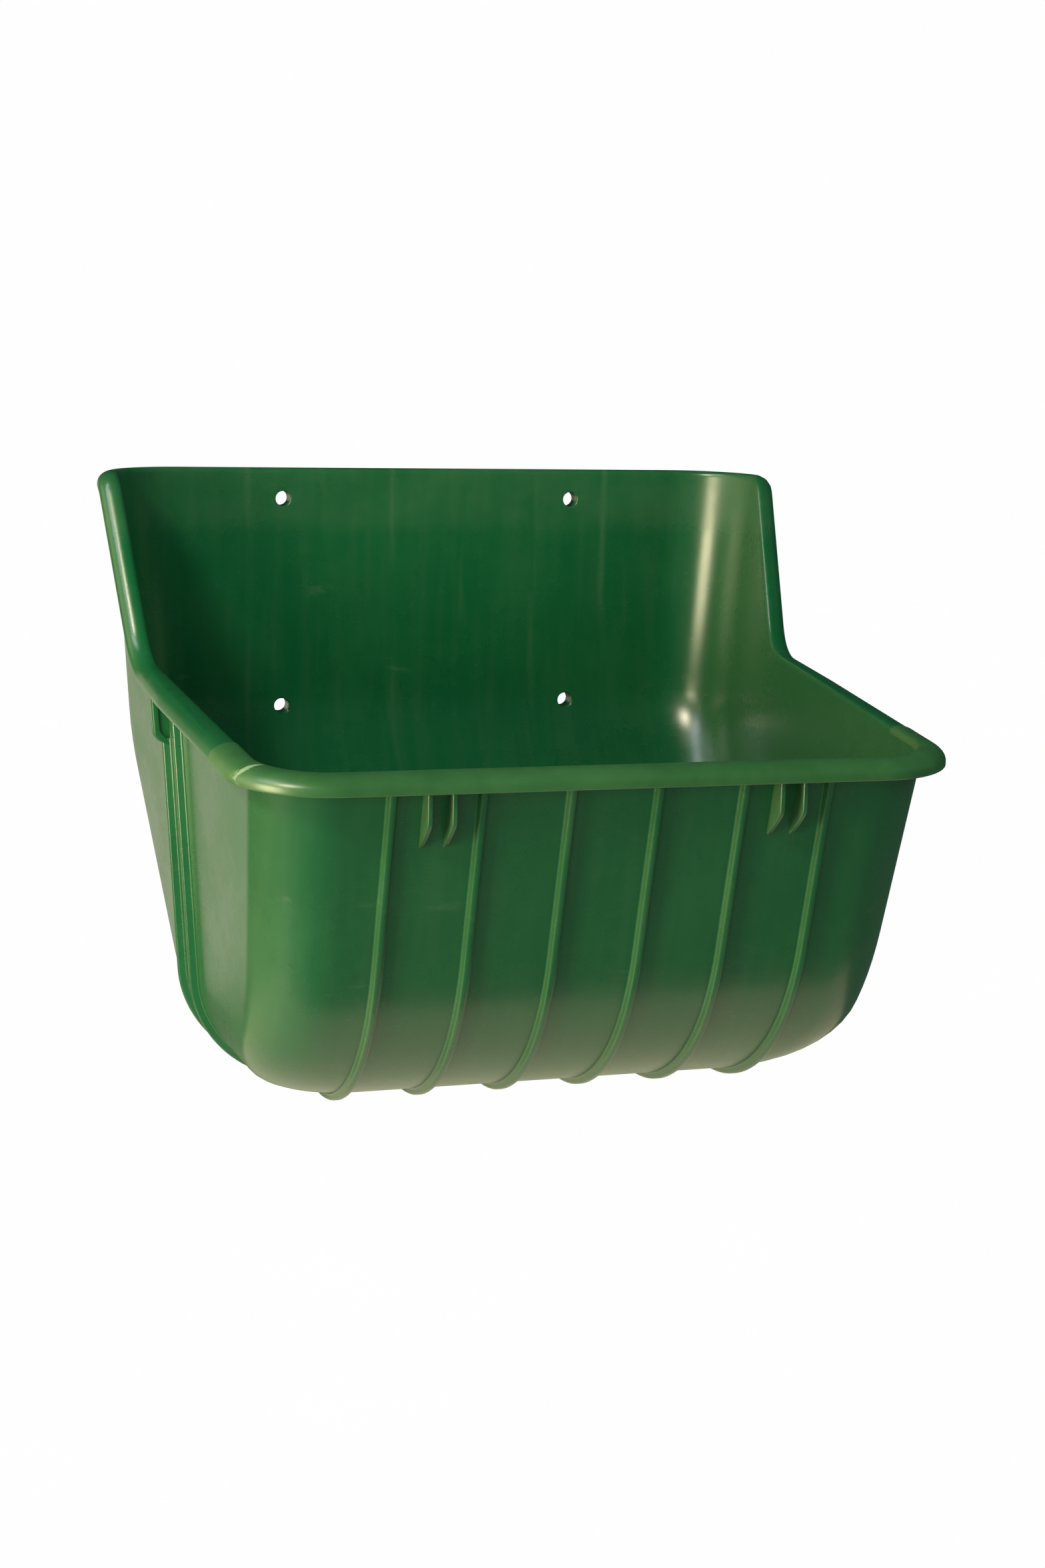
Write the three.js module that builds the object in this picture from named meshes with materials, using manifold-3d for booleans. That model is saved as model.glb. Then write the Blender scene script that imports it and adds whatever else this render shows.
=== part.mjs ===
// Wall-hung feed trough for a horse box, moulded in dark green plastic.
// Millimetres, +Z up. The wall is the plane y = 0, the trough opens upwards and faces -Y.
// The origin lies in the wall plane, on the rear lip of the top rim, at mid width.
import * as THREE from 'three';
import { mergeVertices } from 'three/addons/utils/BufferGeometryUtils.js';
import Module from 'manifold-3d';

const wasm = await Module();
wasm.setup();

// ---- driving dimensions ----
const wall = 3.5; // thickness of every moulded wall
const gap = 0.3; // clearance between neighbouring regions
const plateRear = -9.5; // rear face of the back panel, held off the wall by ribs and bosses
const topEdge = 4.9; // upper edge of the back panel, under the rim

const halfWidth = 223.5; // outer half width of the tub at the origin's height and depth
const sideTaper = 0.052; // narrowing towards the front, per mm of depth
const sideDraft = 0.068; // narrowing downwards, per mm of height
const rearCorner = 50; // upright corners beside the back panel, outside
const frontCorner = 42; // upright corners beside the front wall, outside

const frontY = -415; // outer face of the front wall at frontZ
const frontZ = -133;
const frontDraft = 0.27; // how far the front wall leans back, per mm of height
const frontRadius = 147; // sweep from the front wall into the floor, outside
const floorZ = -345.5; // underside of the floor
const sideRadius = 59; // sweep from the side walls into the floor, outside
const bendZ = -163; // where the back panel turns into the rear slope
const slopeRun = 0.774; // how far the rear slope comes forward, per mm of height
const slopeRadius = 80; // sweep from the rear slope into the floor, outside

const wingTopY = -62; // where the side wall's edge leaves the top
const bendEdge = new THREE.Vector2(-127, -106.5); // lowest point of the steep wing edge
const frontEdge = new THREE.Vector2(frontY, -128); // edge of the front wall
const wingTurn = 9; // rounding of the edge at the wing's top
const bendTurn = 22; // rounding of the edge at the bend

const rimReach = 13; // how far the rolled rim stands out from the wall's outer face
const wingReach = 10; // the same, round the steep edges of the side walls
const rimCrest = 4.1; // crest of the rim above the wall's edge
const rimDrop = 10.4; // height of the rim, from crest to lip
const rimSkin = 2.8; // thickness of the rim's outer leg
const seamY = -345; // where the front rim meets the side rims
const guardExtra = 0.4; // the front rim is a little fuller than the side rims

const ribPitch = 50;
const ribWidth = 5;
const ribHeight = 4;
const ribCount = 6;
const sideRibWidth = 5;
const sideRibHeight = 5;
const rearSideRibY = -180.5;
const frontSideRibY = -213;
const panelHalf = 150; // the middle panels end here and the side walls begin
const bracketReach = 9.8; // how far a side bracket stands out from the side wall
const bracketDrop = 25; // height of a side bracket's outer edge, under the rim
const bracketFall = 6; // its lower edge slopes down to the wall by this much
const beadWidth = 3.4; // raised bead along a side bracket's outer and lower edges
const beadHeight = 1.6;

const screwX = 101;
const screwUpperZ = -11.5;
const screwSpacing = 140;
const screwRadius = 5;
const bossRadius = 7.8;

const finPitch = 13.5; // between the two fins of a pair
const finThickness = 2.8;
const finDrop = 32.5; // how far a fin's pointed end reaches below the rim's lip
const finStraight = 17; // its outer edge drops straight this far and then slants to the point
const finTuck = 3; // its outer edge lies this far inside the rim's
const finPoint = 1; // what is left of the width at the point

const plastic = new THREE.MeshStandardMaterial({ color: 0x0f4a24, roughness: 0.32, metalness: 0 });
const freshPlastic = new THREE.MeshStandardMaterial({ color: 0x24602f, roughness: 0.38, metalness: 0 });

const group = new THREE.Group();

function place(name, geometry, material = plastic) {
  const mesh = new THREE.Mesh(geometry, material.clone());
  mesh.name = name;
  group.add(mesh);
  return mesh;
}

// ---- solids ----

// A closed solid through rings of equal length, capped at both ends by the flat outline.
function loft(rings, outline) {
  const count = rings[0].length;
  const positions = rings.flat().flatMap((point) => [point.x, point.y, point.z]);
  const index = [];
  for (let ring = 0; ring < rings.length - 1; ring++) {
    for (let i = 0; i < count; i++) {
      const a = ring * count + i;
      const b = ring * count + ((i + 1) % count);
      index.push(a, b, b + count, a, b + count, a + count);
    }
  }
  const last = (rings.length - 1) * count;
  const clockwise = THREE.ShapeUtils.isClockWise(outline);
  for (const [a, b, c] of THREE.ShapeUtils.triangulateShape(outline, [])) {
    const [second, third] = clockwise ? [c, b] : [b, c];
    index.push(a, third, second, last + a, last + second, last + third);
  }
  const geometry = new THREE.BufferGeometry();
  geometry.setAttribute('position', new THREE.Float32BufferAttribute(positions, 3));
  geometry.setIndex(index);
  return faceOutwards(geometry);
}

function faceOutwards(geometry) {
  if (signedVolume(geometry) < 0) {
    const index = geometry.index.array;
    for (let i = 0; i < index.length; i += 3) [index[i], index[i + 1]] = [index[i + 1], index[i]];
  }
  return geometry;
}

function signedVolume(geometry) {
  const position = geometry.attributes.position;
  const corners = [new THREE.Vector3(), new THREE.Vector3(), new THREE.Vector3()];
  let volume = 0;
  for (let i = 0; i < geometry.index.count; i += 3) {
    corners.forEach((corner, k) => corner.fromBufferAttribute(position, geometry.index.getX(i + k)));
    volume += corners[0].dot(corners[1].clone().cross(corners[2])) / 6;
  }
  return volume;
}

function toSolid(geometry) {
  const bare = geometry.clone();
  bare.deleteAttribute('normal');
  bare.deleteAttribute('uv');
  const welded = mergeVertices(bare, 1e-4);
  return new wasm.Manifold(new wasm.Mesh({
    numProp: 3,
    vertProperties: new Float32Array(welded.attributes.position.array),
    triVerts: new Uint32Array(welded.index.array),
  }));
}

function toGeometry(solid) {
  const mesh = solid.getMesh();
  const geometry = new THREE.BufferGeometry();
  geometry.setAttribute('position', new THREE.Float32BufferAttribute(mesh.vertProperties, 3));
  geometry.setIndex(Array.from(mesh.triVerts));
  return geometry;
}

// A box given by its limits on each axis.
function blockSolid([x0, x1], [y0, y1], [z0, z1]) {
  const box = new THREE.BoxGeometry(x1 - x0, y1 - y0, z1 - z0);
  box.translate((x0 + x1) / 2, (y0 + y1) / 2, (z0 + z1) / 2);
  return toSolid(box);
}

// A side outline drawn in (depth, height), thickened by width about x = middle.
function acrossWidth(shape, middle, width, curveSegments = 12) {
  const geometry = new THREE.ExtrudeGeometry(shape, { depth: width, bevelEnabled: false, curveSegments });
  const basis = new THREE.Matrix4().makeBasis(
    new THREE.Vector3(0, 1, 0), new THREE.Vector3(0, 0, 1), new THREE.Vector3(1, 0, 0));
  geometry.applyMatrix4(basis);
  geometry.translate(middle - width / 2, 0, 0);
  return geometry;
}

// ---- the tub's surfaces; inset moves each one inwards by that distance ----

const lean = Math.atan(frontDraft);
const frontCentre = new THREE.Vector2(0, floorZ + frontRadius);
frontCentre.x = frontY + (frontRadius - (frontCentre.y - frontZ) * Math.sin(lean)) / Math.cos(lean);
const slopeAngle = Math.atan(slopeRun);
const slopeCentre = new THREE.Vector2(0, floorZ + slopeRadius);
slopeCentre.x = plateRear - slopeRun * (bendZ - slopeCentre.y) - slopeRadius / Math.cos(slopeAngle);

function frontFace(z, inset) {
  const radius = frontRadius - inset;
  if (z > frontCentre.y - radius * Math.sin(lean)) {
    return frontY + frontDraft * (frontZ - z) + inset / Math.cos(lean);
  }
  return frontCentre.x - Math.sqrt(Math.max(radius ** 2 - (z - frontCentre.y) ** 2, 0));
}

function rearFace(z, inset) {
  const radius = slopeRadius - inset;
  if (z > slopeCentre.y - radius * Math.sin(slopeAngle)) {
    const slope = plateRear - slopeRun * (bendZ - z) - inset / Math.cos(slopeAngle);
    return Math.min(plateRear - inset, slope);
  }
  return slopeCentre.x + Math.sqrt(Math.max(radius ** 2 - (z - slopeCentre.y) ** 2, 0));
}

function sideFace(y, z, inset) {
  const radius = sideRadius - inset;
  const drop = Math.max(floorZ + sideRadius - z, 0);
  const rounding = radius - Math.sqrt(Math.max(radius ** 2 - drop ** 2, 0));
  return halfWidth + sideTaper * y + sideDraft * z - inset - rounding;
}

// One level ring of the tub: a rounded, slightly tapering rectangle.
const cornerSteps = 7;
const cornerShare = 0.42; // an upright corner takes at most this share of the depth at its level
function levelRing(z, inset) {
  const front = frontFace(z, inset);
  const rear = rearFace(z, inset);
  const depthLimit = (rear - front) * cornerShare;
  const rearRadius = Math.min(rearCorner - inset, depthLimit);
  const frontRadiusHere = Math.min(frontCorner - inset, depthLimit);
  const frontHalf = sideFace(front + frontRadiusHere, z, inset) - frontRadiusHere;
  const rearHalf = sideFace(rear - rearRadius, z, inset) - rearRadius;
  const corners = [[rearHalf, rear - rearRadius, rearRadius], [-rearHalf, rear - rearRadius, rearRadius],
    [-frontHalf, front + frontRadiusHere, frontRadiusHere], [frontHalf, front + frontRadiusHere, frontRadiusHere]];
  return corners.flatMap(([x, y, radius], quarter) => Array.from({ length: cornerSteps + 1 }, (_, step) => {
    const angle = (quarter + step / cornerSteps) * Math.PI / 2;
    return new THREE.Vector3(x + radius * Math.cos(angle), y + radius * Math.sin(angle), z);
  }));
}

// Levels are close together where the walls sweep into the floor.
const sweepSteps = 8;
const lowLevel = -252;
const middleLevel = -205;
const upperLevel = -60;
const trimMargin = 8; // the shell starts out this much above its trimmed edge
function levels(inset) {
  const shares = Array.from({ length: sweepSteps + 1 }, (_, k) => 1 - Math.cos((k / sweepSteps) * Math.PI / 2));
  const low = shares.map((share) => floorZ + inset + share * (sideRadius - inset));
  const panelEnd = bendZ + inset * (1 / Math.cos(slopeAngle) - 1) / slopeRun; // this face of the panel is flat above
  const frontEnd = frontCentre.y - frontRadius * Math.sin(lean);
  return [...low, lowLevel, frontEnd, middleLevel, panelEnd, upperLevel, topEdge + trimMargin];
}

function tubShell() {
  const outside = levels(0).map((z) => levelRing(z, 0));
  const inside = levels(wall).map((z) => levelRing(z, wall)).reverse();
  return toSolid(loft([...outside, ...inside], outside[0].map((p) => new THREE.Vector2(p.x, p.y))));
}

// ---- the walls' upper edge, seen from the side ----

function towards(from, to, distance) {
  return from.clone().add(to.clone().sub(from).setLength(distance));
}

function edgePath() {
  const wingTop = new THREE.Vector2(wingTopY, topEdge);
  const path = new THREE.Path();
  path.moveTo(plateRear, topEdge);
  const intoTurn = wingTop.clone().setX(wingTopY + wingTurn);
  const outOfTurn = towards(wingTop, bendEdge, wingTurn);
  const intoBend = towards(bendEdge, wingTop, bendTurn);
  const outOfBend = towards(bendEdge, frontEdge, bendTurn);
  path.lineTo(intoTurn.x, intoTurn.y);
  path.quadraticCurveTo(wingTop.x, wingTop.y, outOfTurn.x, outOfTurn.y);
  path.lineTo(intoBend.x, intoBend.y);
  path.quadraticCurveTo(bendEdge.x, bendEdge.y, outOfBend.x, outOfBend.y);
  path.lineTo(frontEdge.x, frontEdge.y);
  return path;
}

const edgePoints = edgePath().getPoints(8);

function edgeHeight(y) {
  for (let i = 1; i < edgePoints.length; i++) {
    const [a, b] = [edgePoints[i - 1], edgePoints[i]];
    if (y >= b.x) return THREE.MathUtils.mapLinear(Math.min(y, a.x), a.x, b.x, a.y, b.y);
  }
  return frontEdge.y;
}

// Everything below the edge; the shell is trimmed with it.
const trimReach = 40; // the trimming body stands past the tub by this much
function belowEdge() {
  const shape = new THREE.Shape();
  shape.moveTo(plateRear + trimReach, topEdge);
  edgePoints.forEach((point) => shape.lineTo(point.x, point.y));
  shape.lineTo(frontY - trimReach, frontEdge.y);
  shape.lineTo(frontY - trimReach, floorZ - trimReach);
  shape.lineTo(plateRear + trimReach, floorZ - trimReach);
  return toSolid(acrossWidth(shape, 0, 2 * (halfWidth + trimReach)));
}

// ---- the tub's named regions ----

const farOut = 600; // a plane this far out clears the tub
const slopeStart = bendZ + 4; // the back panel ends and the rear slope begins
const floorRear = -135; // the rear slope ends and the floor begins
const floorFront = -335; // the floor ends and the front wall begins
const boreLength = 30;
const roundSegments = 24;

function screwPlaces() {
  const places = [];
  for (const [side, x] of [['left', -screwX], ['right', screwX]]) {
    for (const [row, z] of [['upper', screwUpperZ], ['lower', screwUpperZ - screwSpacing]]) {
      places.push({ name: `${row}_${side}`, x, z });
    }
  }
  return places;
}

function buildWalls(runs) {
  let shell = tubShell().intersect(belowEdge());
  for (const stations of Object.values(runs)) {
    shell = shell.subtract(toSolid(sweep(stations, clearanceSection())));
  }
  for (const { x, z } of screwPlaces()) {
    const bore = new THREE.CylinderGeometry(screwRadius, screwRadius, boreLength, roundSegments);
    bore.translate(x, plateRear, z);
    shell = shell.subtract(toSolid(bore));
  }
  const all = [-farOut, farOut];
  const middle = [-panelHalf + gap / 2, panelHalf - gap / 2];
  const regions = {
    left_side_wall: [[-farOut, -panelHalf - gap / 2], all, all],
    right_side_wall: [[panelHalf + gap / 2, farOut], all, all],
    back_panel: [middle, [floorRear, farOut], [slopeStart + gap, farOut]],
    rear_slope: [middle, [floorRear, farOut], [-farOut, slopeStart]],
    floor_pan: [middle, [floorFront + gap, floorRear - gap], all],
    front_wall: [middle, [-farOut, floorFront], all],
  };
  for (const [name, limits] of Object.entries(regions)) {
    place(name, toGeometry(shell.intersect(blockSolid(...limits))));
  }
}

// ---- rolled rim ----

const lipLeg = 2.4; // the rim's outer leg runs straight down over its last stretch
const round = 0.55; // control handle that turns a Bezier curve into a quarter ellipse
const crownStart = 0.5; // the crown's highest point lies this far out from the wall's outer face
const hollowTurn = new THREE.Vector2(2.5, 0.8); // where the rim's hollow underside leaves the wall

// Section of the rim. x runs outwards from the wall's outer face, y away from the wall's edge.
function rimSection(extra = 0) {
  const reach = rimReach + extra;
  const crest = rimCrest + extra;
  const lip = rimCrest - rimDrop - extra;
  const fall = rimDrop - lipLeg;
  const shape = new THREE.Shape();
  shape.moveTo(-wall - extra, gap);
  shape.quadraticCurveTo(-wall - extra, crest, crownStart, crest);
  shape.bezierCurveTo(round * reach, crest, reach, crest - fall * (1 - round), reach, crest - fall);
  shape.lineTo(reach, lip);
  shape.lineTo(reach - rimSkin, lip);
  shape.lineTo(reach - rimSkin, crest - fall);
  shape.quadraticCurveTo(reach - rimSkin, 0.2, hollowTurn.x, hollowTurn.y);
  shape.lineTo(0, gap);
  return shape.getPoints(5).slice(0, -1);
}

// The rim follows the wall's outer face. turn is 0 where it faces the wall or the front and 90 degrees
// where it faces sideways; facing is +1 at the back and -1 at the front.
function rimStation(x, y, turn, facing, side) {
  const outward = new THREE.Vector3(side * Math.sin(turn), facing * Math.cos(turn), 0);
  const wallSide = facing > 0 ? Math.cos(turn) : 0;
  const forward = THREE.MathUtils.clamp((bendEdge.x - y) / (bendEdge.x - frontSideRibY), 0, 1);
  const free = facing > 0 ? THREE.MathUtils.lerp(wingReach, rimReach, forward) : rimReach;
  const reach = THREE.MathUtils.lerp(free, -plateRear, wallSide);
  return { point: new THREE.Vector3(x, y, edgeHeight(y)), outward, reach };
}

const bendSteps = 10; // stations round an upright corner

// Round an upright corner, from the side wall's end of it to the back's or the front's.
function cornerStations(side, facing) {
  const height = facing > 0 ? topEdge : frontEdge.y;
  const face = facing > 0 ? plateRear : frontFace(height, 0);
  const radius = facing > 0 ? rearCorner : frontCorner;
  const centreY = face - facing * radius;
  const centreX = sideFace(centreY, height, 0) - radius;
  const even = Array.from({ length: bendSteps + 1 }, (_, step) => (step / bendSteps) * (Math.PI / 2));
  const atTurns = edgePoints.map((point) => facing * (point.x - centreY) / radius)
    .filter((share) => share > 0.02 && share < 0.9).map((share) => Math.acos(share));
  const turns = [...even, ...(facing > 0 ? atTurns : [])].sort((a, b) => b - a);
  return turns.filter((turn, i) => i === 0 || turns[i - 1] - turn > 0.01).map((turn) => rimStation(
    side * (centreX + radius * Math.sin(turn)), centreY + facing * radius * Math.cos(turn),
    turn, facing, side));
}

function sideStations(side, fromY, toY) {
  const depths = edgePoints.map((point) => point.x).filter((y) => y < fromY - 1 && y > toY + 1);
  return [fromY, ...depths, toY].map((y) => (
    rimStation(side * sideFace(y, edgeHeight(y), 0), y, Math.PI / 2, 1, side)));
}

// Section of the space that the rim needs above the wall's edge.
const rimRoom = 9;
function clearanceSection() {
  const [inner, outer, top] = [-wall - 3, rimRoom, rimRoom];
  return [[inner, 0], [outer, 0], [outer, top], [inner, top]].map(([x, y]) => new THREE.Vector2(x, y));
}

function sweep(stations, outline) {
  const rings = stations.map(({ point, outward, reach }, i) => {
    const before = stations[Math.max(i - 1, 0)].point;
    const after = stations[Math.min(i + 1, stations.length - 1)].point;
    const along = after.clone().sub(before).normalize();
    const away = new THREE.Vector3().crossVectors(outward, along).normalize();
    if (away.z - 0.5 * away.y < 0) away.negate();
    return outline.map((p) => {
      const across = p.x > 0 ? p.x * reach / rimReach : p.x;
      return point.clone().addScaledVector(outward, across).addScaledVector(away, p.y);
    });
  });
  return loft(rings, outline);
}

function rimRuns() {
  const rearCentre = plateRear - rearCorner;
  const straight = sideFace(rearCentre, topEdge, 0) - rearCorner - gap;
  const sideRun = (side) => [...cornerStations(side, 1).reverse(), ...sideStations(side, rearCentre - 3, seamY)];
  const frontEnd = (side) => sideStations(side, seamY - gap, seamY - 2 * gap)[0];
  return {
    back_rim: [rimStation(-straight, plateRear, 0, 1, -1), rimStation(straight, plateRear, 0, 1, 1)],
    left_side_rim: sideRun(-1),
    right_side_rim: sideRun(1),
    front_rim: [frontEnd(-1), ...cornerStations(-1, -1), ...cornerStations(1, -1).reverse(), frontEnd(1)],
  };
}

function buildRim(runs) {
  for (const [name, stations] of Object.entries(runs)) {
    const isFront = name === 'front_rim';
    place(name, sweep(stations, rimSection(isFront ? guardExtra : 0)), isFront ? freshPlastic : plastic);
  }
}

// ---- ribs that run down the front, under the floor and up the back ----

// Outer face of the tub at mid width, from the front rim round to the top of the back.
function keelLine(offset) {
  const points = [];
  const top = rimCrest + frontEdge.y - rimDrop - guardExtra - gap;
  points.push(new THREE.Vector2(frontFace(top, -offset), top));
  for (let k = 0; k <= 12; k++) {
    const angle = THREE.MathUtils.lerp(lean, Math.PI / 2, k / 12);
    const radius = frontRadius + offset;
    points.push(new THREE.Vector2(-Math.cos(angle), -Math.sin(angle)).multiplyScalar(radius).add(frontCentre));
  }
  for (let k = 0; k <= 6; k++) {
    const angle = THREE.MathUtils.lerp(Math.PI / 2, slopeAngle, k / 6);
    const radius = slopeRadius + offset;
    points.push(new THREE.Vector2(Math.cos(angle), -Math.sin(angle)).multiplyScalar(radius).add(slopeCentre));
  }
  return points;
}

function wrapRibShape() {
  const inner = keelLine(gap);
  const outer = keelLine(ribHeight);
  const slopeReach = Math.tan(slopeAngle / 2);
  const ribTop = rimCrest + topEdge - rimDrop - 1;
  const shape = new THREE.Shape();
  shape.moveTo(outer[0].x, outer[0].y);
  outer.slice(1).forEach((p) => shape.lineTo(p.x, p.y));
  shape.lineTo(0, bendZ - slopeReach * ribHeight);
  shape.lineTo(0, ribTop);
  shape.lineTo(plateRear + gap, ribTop);
  shape.lineTo(plateRear + gap, bendZ - gap * slopeReach);
  inner.reverse().forEach((p) => shape.lineTo(p.x, p.y));
  return shape;
}

function buildWrapRibs() {
  const shape = wrapRibShape();
  for (let i = 0; i < ribCount; i++) {
    place(`wrap_rib_${i + 1}`, acrossWidth(shape, (i - (ribCount - 1) / 2) * ribPitch, ribWidth));
  }
}

// ---- ribs down the side walls and round under the floor ----

function sideRibShape(y, side, top) {
  const depth = y + sideRibWidth / 2; // the wall is widest at the rib's rear face
  const end = ribPitch * (ribCount - 1) / 2 + ribWidth / 2 + 2;
  const centreZ = floorZ + sideRadius;
  const centreX = sideFace(depth, centreZ, 0) - sideRadius;
  const lastAngle = Math.acos((end - centreX) / sideRadius) - sideDraft;
  const line = (offset) => {
    const radius = sideRadius + offset;
    const arc = Array.from({ length: 11 }, (_, k) => {
      const angle = (k / 10) * lastAngle;
      const sag = sideDraft * radius * Math.sin(angle);
      return new THREE.Vector2(centreX + radius * Math.cos(angle) - sag, centreZ - radius * Math.sin(angle));
    });
    return [new THREE.Vector2(sideFace(depth, top, -offset), top), ...arc];
  };
  const outline = [...line(sideRibHeight), ...line(gap + 0.1).reverse()];
  return new THREE.Shape(outline.map((p) => new THREE.Vector2(side * p.x, p.y)));
}

// An upright slice across the tub, drawn in (x, height) and thickened about y = middle.
function acrossDepth(shape, middle, width) {
  const geometry = new THREE.ExtrudeGeometry(shape, { depth: width, bevelEnabled: false, curveSegments: 5 });
  const basis = new THREE.Matrix4().makeBasis(
    new THREE.Vector3(1, 0, 0), new THREE.Vector3(0, 0, 1), new THREE.Vector3(0, -1, 0));
  geometry.applyMatrix4(basis);
  geometry.translate(0, middle + width / 2, 0);
  return geometry;
}

// Height of the underside of a side rim, with the clearance beneath it.
function underRim(y) {
  return edgeHeight(y) + rimCrest - rimDrop - 4 * gap;
}

function buildSideRibs() {
  for (const [sideName, side] of [['left', -1], ['right', 1]]) {
    const underBracket = underRim(rearSideRibY) - bracketDrop - bracketFall - gap;
    const ends = [['rear', rearSideRibY, underBracket], ['front', frontSideRibY, underRim(frontSideRibY)]];
    for (const [end, y, top] of ends) {
      place(`${sideName}_${end}_side_rib`, acrossDepth(sideRibShape(y, side, top), y, sideRibWidth));
    }
  }
}

// ---- brackets under the side rims: an upright plate over the rear rib, with a bead along its free edges ----

function bracketPlate(side, inset, middle, width) {
  const top = underRim(rearSideRibY) + (inset > 0 ? bracketDrop : 0);
  const low = underRim(rearSideRibY) - bracketDrop + inset;
  const foot = low - bracketFall;
  const depth = rearSideRibY + sideRibWidth / 2;
  const inner = inset > 0 ? -inset : gap + 0.1;
  const face = (z, offset) => side * sideFace(depth, z, -offset);
  const outer = bracketReach - inset;
  const rounding = outer / 2;
  const roundingEnd = low - bracketFall * 0.4; // the lower edge has fallen this far where the rounding ends
  const shape = new THREE.Shape();
  shape.moveTo(face(top, inner), top);
  shape.lineTo(face(top, outer), top);
  shape.lineTo(face(low, outer), low + rounding);
  shape.quadraticCurveTo(face(low, outer), low, face(low, outer - rounding), roundingEnd);
  shape.lineTo(face(foot, inner), foot);
  return toSolid(acrossDepth(shape, middle, width));
}

function buildBrackets() {
  for (const [sideName, side] of [['left', -1], ['right', 1]]) {
    const plate = bracketPlate(side, 0, rearSideRibY, sideRibWidth);
    const pocketY = rearSideRibY - sideRibWidth / 2;
    const pocket = bracketPlate(side, beadWidth, pocketY, 2 * beadHeight);
    place(`${sideName}_side_bracket`, toGeometry(plate.subtract(pocket)));
  }
}

// ---- fins under the front rim ----

function finShape() {
  const lipZ = frontEdge.y + rimCrest - rimDrop - guardExtra;
  const top = frontEdge.y - 5 * gap;
  const tipZ = lipZ - finDrop;
  const slantZ = lipZ - finStraight;
  const outer = frontFace(lipZ, 0) - rimReach + finTuck;
  const shape = new THREE.Shape();
  shape.moveTo(frontFace(top, -gap), top);
  shape.lineTo(outer, lipZ);
  shape.lineTo(outer, slantZ);
  shape.quadraticCurveTo(outer + finPoint, slantZ - finTuck, outer + 2 * finPoint, slantZ - 2 * finTuck);
  shape.lineTo(frontFace(tipZ, -gap) - finPoint, tipZ);
  shape.lineTo(frontFace(tipZ, -gap), tipZ);
  return shape;
}

function buildFins() {
  const shape = finShape();
  for (const [sideName, side] of [['left', -1], ['right', 1]]) {
    for (const [name, offset] of [['outer', finPitch / 2], ['inner', -finPitch / 2]]) {
      place(`${sideName}_${name}_hook_fin`, acrossWidth(shape, side * (2 * ribPitch + offset), finThickness));
    }
  }
}

// ---- screw bosses behind the back panel ----

function buildBosses() {
  const length = -plateRear - gap;
  const outline = [[screwRadius, 0], [bossRadius, 0], [bossRadius, length], [screwRadius, length], [screwRadius, 0]];
  const profile = outline.map(([radius, height]) => new THREE.Vector2(radius, height));
  for (const { name, x, z } of screwPlaces()) {
    const boss = place(`screw_boss_${name}`, new THREE.LatheGeometry(profile, roundSegments));
    boss.rotation.x = Math.PI;
    boss.position.set(x, 0, z);
  }
}

const runs = rimRuns();
buildWalls(runs);
buildRim(runs);
buildWrapRibs();
buildSideRibs();
buildBrackets();
buildFins();
buildBosses();

export default group;
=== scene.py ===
"""Looks of a wall-hung feed trough for a horse box: one glossy green moulding with ribs and a rolled rim.

Sizes are in millimetres until a mesh is made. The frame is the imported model's: the wall is the plane y = 0,
+Z is up, the trough faces -Y, and the origin lies on the rear lip of the rim at mid width.
"""

import logging
import math
from dataclasses import dataclass
from enum import Enum

import bmesh
import bpy
import numpy as np
from mathutils import Matrix, Vector


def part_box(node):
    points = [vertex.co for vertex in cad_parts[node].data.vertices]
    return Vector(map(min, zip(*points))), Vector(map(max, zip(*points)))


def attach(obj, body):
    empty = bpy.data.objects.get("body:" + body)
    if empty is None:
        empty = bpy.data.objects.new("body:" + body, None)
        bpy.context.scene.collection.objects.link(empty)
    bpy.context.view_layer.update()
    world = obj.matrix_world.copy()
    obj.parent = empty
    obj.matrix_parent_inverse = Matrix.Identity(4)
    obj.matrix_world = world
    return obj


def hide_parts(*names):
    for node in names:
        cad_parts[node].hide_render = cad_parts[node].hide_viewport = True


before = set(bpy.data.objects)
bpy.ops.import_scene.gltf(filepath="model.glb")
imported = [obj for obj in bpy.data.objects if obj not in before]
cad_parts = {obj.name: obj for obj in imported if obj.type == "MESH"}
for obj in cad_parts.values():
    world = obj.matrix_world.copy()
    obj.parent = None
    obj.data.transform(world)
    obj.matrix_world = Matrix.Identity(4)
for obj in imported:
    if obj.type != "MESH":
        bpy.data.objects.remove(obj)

LOG = logging.getLogger("feed_trough")
MM = 0.001
BODY = "root"
EDGE_HALVINGS = 26  # steps of the search for the height where a wall meets its edge
SMOOTH_DEG = 40  # edges that turn by less than this are shaded smooth
BEVEL_DEG = 32  # edges that turn by more than this are rounded by a bevel
Point = tuple[float, float, float]
Colour = tuple[float, float, float]
Faces = list[tuple[int, ...]]
Piece = bpy.types.Object
Finish = bpy.types.Material
Tree = bpy.types.NodeTree
Socket = bpy.types.NodeSocket


class Side(Enum):
    """The two ends of the trough, with the sign of their x."""

    LEFT = -1
    RIGHT = 1

    @property
    def word(self) -> str:
        """The side's name in lower case."""
        return self.name.lower()


class Run(Enum):
    """The stretches that one half of a level ring is made of, from mid back to mid front."""

    BACK = 0
    REAR_CORNER = 1
    FLANK = 2
    FRONT_CORNER = 3
    FRONT = 4


def smooth_curve(start: np.ndarray, handle: np.ndarray, end: np.ndarray, steps: int) -> np.ndarray:
    """Points on a quadratic curve.

    Args:
        start: First point.
        handle: Control point.
        end: Last point.
        steps: Number of intervals.

    Returns:
        An array of steps + 1 points.
    """
    t = np.linspace(0, 1, steps + 1)[:, None]
    return (1 - t) ** 2 * start + 2 * t * (1 - t) * handle + t ** 2 * end


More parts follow.
